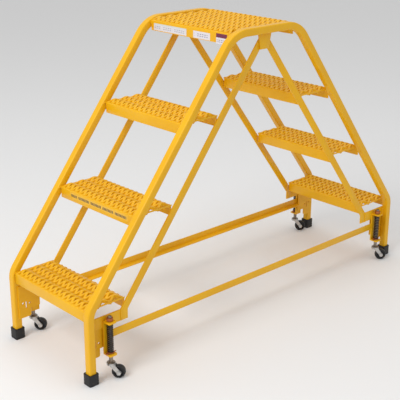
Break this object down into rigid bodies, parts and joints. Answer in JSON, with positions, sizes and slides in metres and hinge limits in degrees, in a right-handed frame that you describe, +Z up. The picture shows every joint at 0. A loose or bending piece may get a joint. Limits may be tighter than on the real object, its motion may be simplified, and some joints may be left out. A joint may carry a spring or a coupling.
{
  "type": "mobile ladder stand",
  "caption": "Double-sided rolling ladder stand of bent square tube, with serrated grating treads and platform, rubber feet and spring-loaded swivel casters.",
  "frame": {"origin": "on the floor at the centre of the four feet; the casters' rest pose moves the box's centre about 9 mm off it along Y", "axes": "+Z up, +X along the length from one flight of treads to the other, +Y across the width to the far side"},
  "size_m": [1.5246, 0.4783, 1.016],
  "materials": {
    "yellow_paint": "semi-gloss powder coat",
    "black_rubber": "matte",
    "black_wheel": "matte moulded",
    "zinc_plate": "zinc plated",
    "stem_steel": "oiled",
    "bronzed_steel": "yellow-brown plating",
    "black_spring": "black oiled wire"
  },
  "bodies": {
    "stand": {"side_frame_near": "yellow_paint", "gusset_near": "yellow_paint", "tie_rail_near": "yellow_paint", "side_frame_far": "yellow_paint", "gusset_far": "yellow_paint", "tie_rail_far": "yellow_paint", "tread_left_1": "yellow_paint", "tread_left_2": "yellow_paint", "tread_left_3": "yellow_paint", "tread_right_1": "yellow_paint", "tread_right_2": "yellow_paint", "tread_right_3": "yellow_paint", "platform": "yellow_paint", "plank_end_bars": "yellow_paint", "foot_cap_left_near": "black_rubber", "brace_left_near": "yellow_paint", "base_bar_left_near": "yellow_paint", "caster_plate_left_near": "yellow_paint", "caster_bracket_left_near": "yellow_paint", "spring_left_near": "black_spring", "foot_cap_left_far": "black_rubber", "brace_left_far": "yellow_paint", "base_bar_left_far": "yellow_paint", "caster_plate_left_far": "yellow_paint", "caster_bracket_left_far": "yellow_paint", "spring_left_far": "black_spring", "foot_cap_right_near": "black_rubber", "brace_right_near": "yellow_paint", "base_bar_right_near": "yellow_paint", "caster_plate_right_near": "yellow_paint", "caster_bracket_right_near": "yellow_paint", "spring_right_near": "black_spring", "foot_cap_right_far": "black_rubber", "brace_right_far": "yellow_paint", "base_bar_right_far": "yellow_paint", "caster_plate_right_far": "yellow_paint", "caster_bracket_right_far": "yellow_paint", "spring_right_far": "black_spring"},
    "stem_left_near": {"stem_left_near": "stem_steel", "stem_hardware_left_near": "bronzed_steel"},
    "fork_left_near": {"fork_left_near": "zinc_plate", "axle_left_near": "zinc_plate"},
    "wheel_left_near": {"wheel_left_near": "black_wheel"},
    "stem_left_far": {"stem_left_far": "stem_steel", "stem_hardware_left_far": "bronzed_steel"},
    "fork_left_far": {"fork_left_far": "zinc_plate", "axle_left_far": "zinc_plate"},
    "wheel_left_far": {"wheel_left_far": "black_wheel"},
    "stem_right_near": {"stem_right_near": "stem_steel", "stem_hardware_right_near": "bronzed_steel"},
    "fork_right_near": {"fork_right_near": "zinc_plate", "axle_right_near": "zinc_plate"},
    "wheel_right_near": {"wheel_right_near": "black_wheel"},
    "stem_right_far": {"stem_right_far": "stem_steel", "stem_hardware_right_far": "bronzed_steel"},
    "fork_right_far": {"fork_right_far": "zinc_plate", "axle_right_far": "zinc_plate"},
    "wheel_right_far": {"wheel_right_far": "black_wheel"}
  },
  "joints": [
    {"name": "spring_travel_left_near", "type": "slide", "parent": "stand", "child": "stem_left_near", "axis": [0, 0, 1], "range_m": [0, 0.012], "stiffness_N_per_m": 3000, "springref_m": -0.012, "deforming": ["spring_left_near"]},
    {"name": "swivel_left_near", "type": "hinge", "parent": "stem_left_near", "child": "fork_left_near", "pos_m": [-0.674, -0.214, 0.05], "axis": [0, 0, 1], "continuous": true},
    {"name": "wheel_spin_left_near", "type": "hinge", "parent": "fork_left_near", "child": "wheel_left_near", "pos_m": [-0.65638, -0.22878, 0.022], "axis": [0.6428, 0.766, 0], "continuous": true},
    {"name": "spring_travel_left_far", "type": "slide", "parent": "stand", "child": "stem_left_far", "axis": [0, 0, 1], "range_m": [0, 0.012], "stiffness_N_per_m": 3000, "springref_m": -0.012, "deforming": ["spring_left_far"]},
    {"name": "swivel_left_far", "type": "hinge", "parent": "stem_left_far", "child": "fork_left_far", "pos_m": [-0.674, 0.214, 0.05], "axis": [0, 0, 1], "continuous": true},
    {"name": "wheel_spin_left_far", "type": "hinge", "parent": "fork_left_far", "child": "wheel_left_far", "pos_m": [-0.65638, 0.19922, 0.022], "axis": [0.6428, 0.766, 0], "continuous": true},
    {"name": "spring_travel_right_near", "type": "slide", "parent": "stand", "child": "stem_right_near", "axis": [0, 0, 1], "range_m": [0, 0.012], "stiffness_N_per_m": 3000, "springref_m": -0.012, "deforming": ["spring_right_near"]},
    {"name": "swivel_right_near", "type": "hinge", "parent": "stem_right_near", "child": "fork_right_near", "pos_m": [0.674, -0.214, 0.05], "axis": [0, 0, 1], "continuous": true},
    {"name": "wheel_spin_right_near", "type": "hinge", "parent": "fork_right_near", "child": "wheel_right_near", "pos_m": [0.69162, -0.22878, 0.022], "axis": [0.6428, 0.766, 0], "continuous": true},
    {"name": "spring_travel_right_far", "type": "slide", "parent": "stand", "child": "stem_right_far", "axis": [0, 0, 1], "range_m": [0, 0.012], "stiffness_N_per_m": 3000, "springref_m": -0.012, "deforming": ["spring_right_far"]},
    {"name": "swivel_right_far", "type": "hinge", "parent": "stem_right_far", "child": "fork_right_far", "pos_m": [0.674, 0.214, 0.05], "axis": [0, 0, 1], "continuous": true},
    {"name": "wheel_spin_right_far", "type": "hinge", "parent": "fork_right_far", "child": "wheel_right_far", "pos_m": [0.69162, 0.19922, 0.022], "axis": [0.6428, 0.766, 0], "continuous": true}
  ]
}
